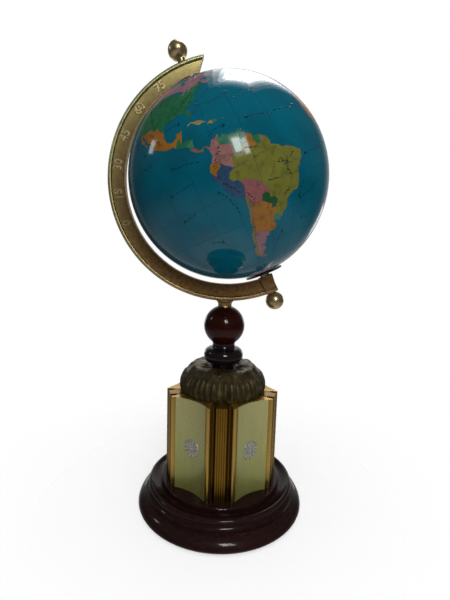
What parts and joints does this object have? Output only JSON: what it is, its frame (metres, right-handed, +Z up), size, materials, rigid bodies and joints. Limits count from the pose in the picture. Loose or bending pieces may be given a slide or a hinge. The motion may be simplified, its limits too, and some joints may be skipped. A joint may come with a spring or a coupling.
{
  "type": "desktop globe on stand",
  "caption": "Small terrestrial globe on a tilted axle in a half-ring brass meridian arm, on a trophy-style stand of ball, gadrooned dome, gold column with inlay panels, and round plinth.",
  "frame": {"origin": "centre of the underside of the base, on the surface that the stand rests on", "axes": "+Z up; -Y is the front; the meridian arm lies in the XZ plane, bulges towards -X and opens towards +X; the axle leans 23.5 degrees from +Z towards -X"},
  "size_m": [0.1417, 0.127, 0.3051],
  "materials": {
    "plinth": "semi-gloss dark maroon lacquer over a turned moulding",
    "felt": "dark green felt",
    "steel": "plain zinc-plated steel",
    "gold": "bright gold anodised extrusion",
    "black_plastic": "plain black moulded plastic",
    "inlay": "satin khaki-green inlay sheet",
    "emblem": "silver sunburst-cut foil",
    "olive_bronze": "dark olive antique bronze, rubbed on the high spots",
    "dark_turning": "glossy near-black maroon",
    "maroon_turning": "glossy dark maroon",
    "antique_brass": "antique brass, satin, darkened in the hollows",
    "knob_brass": "polished antique brass",
    "bright_ring": "bright plated ring",
    "globe_print": "printed and clear-coated globe skin",
    "pole_plate": "black plate"
  },
  "bodies": {
    "stand": {"base_plinth": "plinth", "base_felt": "felt", "base_washer": "steel", "base_nut": "steel", "tie_rod": "steel", "column_tube": "gold", "column_bottom_plate": "black_plastic", "column_top_plate": "gold", "dome_cap": "olive_bronze", "spool_ring": "dark_turning", "ball_finial": "maroon_turning", "coupling_sleeve": "steel", "arm_ferrule": "antique_brass", "arm_stud": "steel", "meridian_arm": "antique_brass", "axle_rod": "steel", "top_knob": "knob_brass", "bottom_knob": "knob_brass", "north_thrust_washer": "bright_ring", "north_spacer_ring": "bright_ring", "south_thrust_washer": "bright_ring", "south_spacer_ring": "bright_ring", "face_panel_1": "inlay", "panel_emblem_1": "emblem", "face_panel_2": "inlay", "panel_emblem_2": "emblem", "face_panel_3": "inlay", "panel_emblem_3": "emblem", "face_panel_4": "inlay", "panel_emblem_4": "emblem", "face_panel_5": "inlay", "panel_emblem_5": "emblem"},
    "globe": {"north_shell": "globe_print", "south_shell": "globe_print", "equator_ring": "black_plastic", "north_bush": "black_plastic", "south_bush": "black_plastic", "north_pole_disc": "pole_plate", "south_pole_disc": "pole_plate"}
  },
  "joints": [
    {"name": "globe_spin", "type": "hinge", "parent": "stand", "child": "globe", "pos_m": [0, 0, 0.2206], "axis": [-0.3987, 0, 0.9171], "continuous": true}
  ]
}
